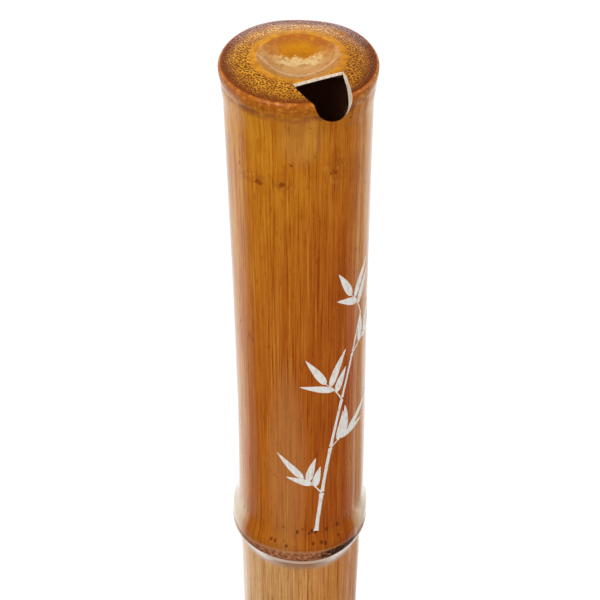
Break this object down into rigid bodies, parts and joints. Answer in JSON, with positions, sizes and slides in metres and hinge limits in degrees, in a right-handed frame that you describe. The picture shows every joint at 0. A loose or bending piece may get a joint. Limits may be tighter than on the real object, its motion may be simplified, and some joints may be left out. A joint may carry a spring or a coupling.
{
  "type": "notch flute",
  "caption": "Vertical end-blown bamboo flute with a notched, node-closed blowing end, finger and thumb holes, and a brass joint that slides and turns.",
  "frame": {"origin": "middle of the flat foot end that the flute stands on", "axes": "+Z along the flute's axis towards the blowing end, -Y the side of the notch and the finger holes, +Y the side of the thumb hole"},
  "size_m": [0.0292, 0.0292, 0.7085],
  "materials": {
    "bamboo": "clear gloss lacquer over polished culm skin",
    "brass": "turned and polished",
    "rubber": "matt moulded"
  },
  "bodies": {
    "foot_section": {"foot_tube": "bamboo", "foot_ferrule": "brass", "tenon_tube": "brass"},
    "seal_rings": {"seal_ring_1": "rubber", "seal_ring_2": "rubber"},
    "head_section": {"head_tube": "bamboo", "head_ferrule": "brass", "socket_tube": "brass"}
  },
  "joints": [
    {"name": "twist", "type": "hinge", "parent": "foot_section", "child": "seal_rings", "pos_m": [0, 0, 0.517], "axis": [0, 0, 1], "continuous": true},
    {"name": "pull", "type": "slide", "parent": "seal_rings", "child": "head_section", "axis": [0, 0, 1], "range_m": [0, 0.024]}
  ]
}
